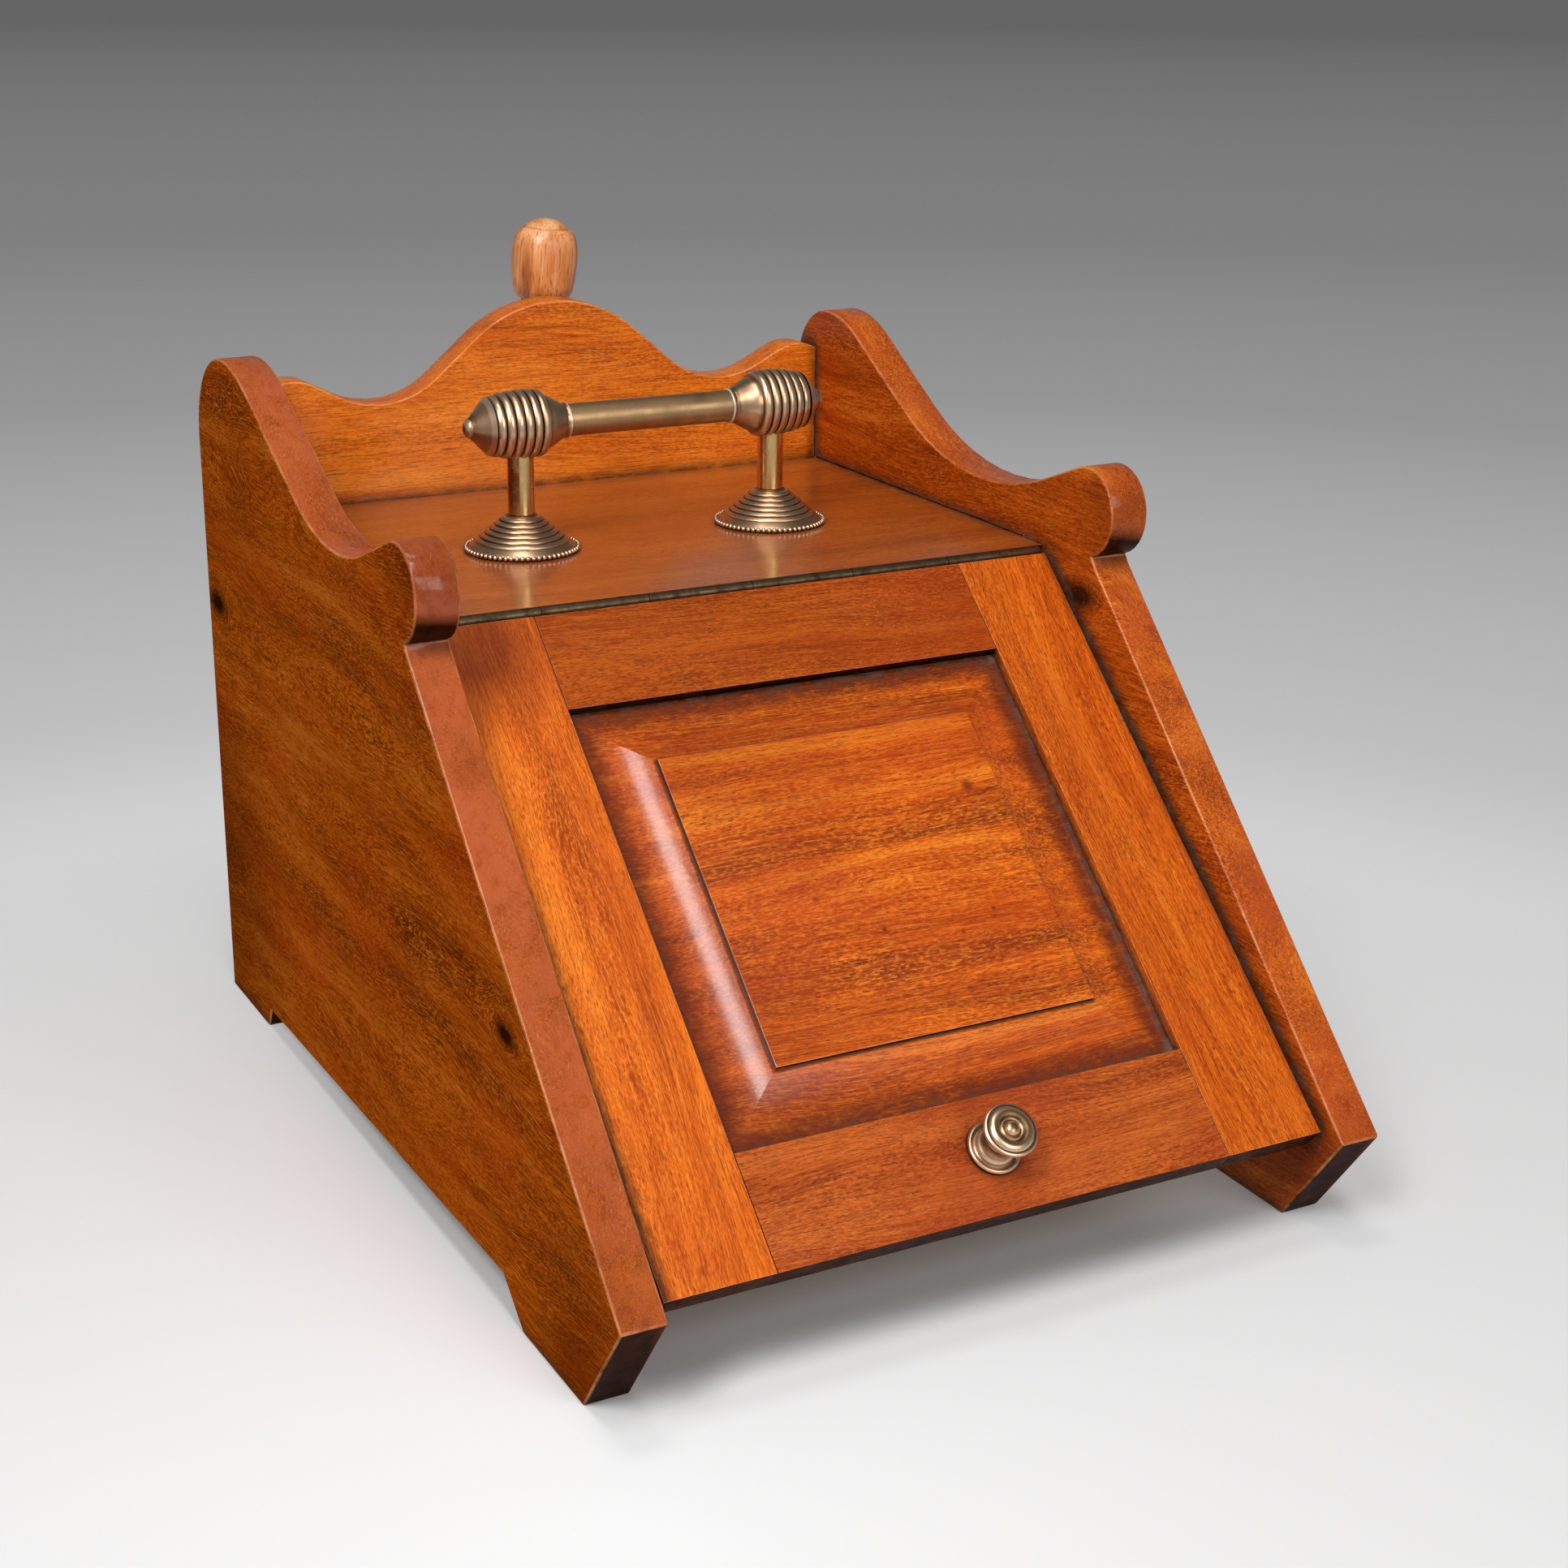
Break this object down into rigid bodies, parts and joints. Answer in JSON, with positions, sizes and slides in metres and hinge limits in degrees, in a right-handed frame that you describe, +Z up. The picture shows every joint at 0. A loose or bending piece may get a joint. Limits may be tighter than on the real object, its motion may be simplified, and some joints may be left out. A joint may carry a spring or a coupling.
{
  "type": "coal scuttle",
  "caption": "Slope-fronted wooden coal box with a hinged panelled fall lid, scrolled sides, brass carry handle and knob, metal liner and a shovel racked on the back.",
  "frame": {"origin": "on the floor, in the middle of the box's width and depth", "axes": "+X to the right seen from the front, +Y to the back, +Z up"},
  "size_m": [0.35, 0.5196, 0.3826],
  "materials": {
    "mahogany": "French polished, worn edges",
    "dark_mahogany": "French polished",
    "deal": "planed, bare",
    "antique_brass": "aged, dull",
    "steel": "aged",
    "blackened_steel": "japanned black, matt",
    "beech": "turned and polished"
  },
  "bodies": {
    "case": {"side_left": "mahogany", "side_right": "mahogany", "back_upstand": "mahogany", "top_board": "mahogany", "bottom_board": "deal", "back_panel": "deal", "front_rail": "dark_mahogany", "back_cleat_left": "deal", "back_cleat_right": "deal", "glue_block_left": "deal", "glue_block_right": "deal", "lid_ledge_left": "deal", "lid_ledge_right": "deal", "hinge_leaf_case": "antique_brass", "hinge_pin": "antique_brass", "hinge_screw_case_1": "antique_brass", "hinge_screw_case_2": "antique_brass", "hinge_screw_case_3": "antique_brass", "handle_bar": "antique_brass", "handle_barrel_left": "antique_brass", "handle_barrel_right": "antique_brass", "handle_post_left": "antique_brass", "handle_post_right": "antique_brass", "handle_base_left": "antique_brass", "handle_base_right": "antique_brass", "handle_washer_left": "steel", "handle_washer_right": "steel", "handle_nut_left": "steel", "handle_nut_right": "steel", "liner": "blackened_steel", "shovel_strap": "antique_brass", "shovel_ledge": "mahogany", "shovel_strap_screw_1": "antique_brass", "shovel_strap_screw_2": "antique_brass", "shovel_strap_screw_3": "antique_brass", "shovel_strap_screw_4": "antique_brass", "back_panel_screw_1": "steel", "back_panel_screw_2": "steel", "back_panel_screw_3": "steel", "back_panel_screw_4": "steel"},
    "lid": {"lid_stile_left": "mahogany", "lid_stile_right": "mahogany", "lid_rail_top": "mahogany", "lid_rail_bottom": "mahogany", "lid_panel": "mahogany", "hinge_leaf_lid": "antique_brass", "hinge_screw_lid_1": "antique_brass", "hinge_screw_lid_2": "antique_brass", "hinge_screw_lid_3": "antique_brass", "knob": "antique_brass", "knob_rose": "antique_brass", "knob_nut": "steel"},
    "shovel": {"shovel_grip": "beech", "shovel_ferrule": "antique_brass", "shovel_shank": "antique_brass", "shovel_pan": "antique_brass"}
  },
  "joints": [
    {"name": "lid_hinge", "type": "hinge", "parent": "case", "child": "lid", "pos_m": [0, -0.02115, 0.2506], "axis": [-1, 0, 0], "range_deg": [0, 140]},
    {"name": "shovel_lift", "type": "slide", "parent": "case", "child": "shovel", "axis": [0, 0, 1], "range_m": [0, 0.16]}
  ]
}
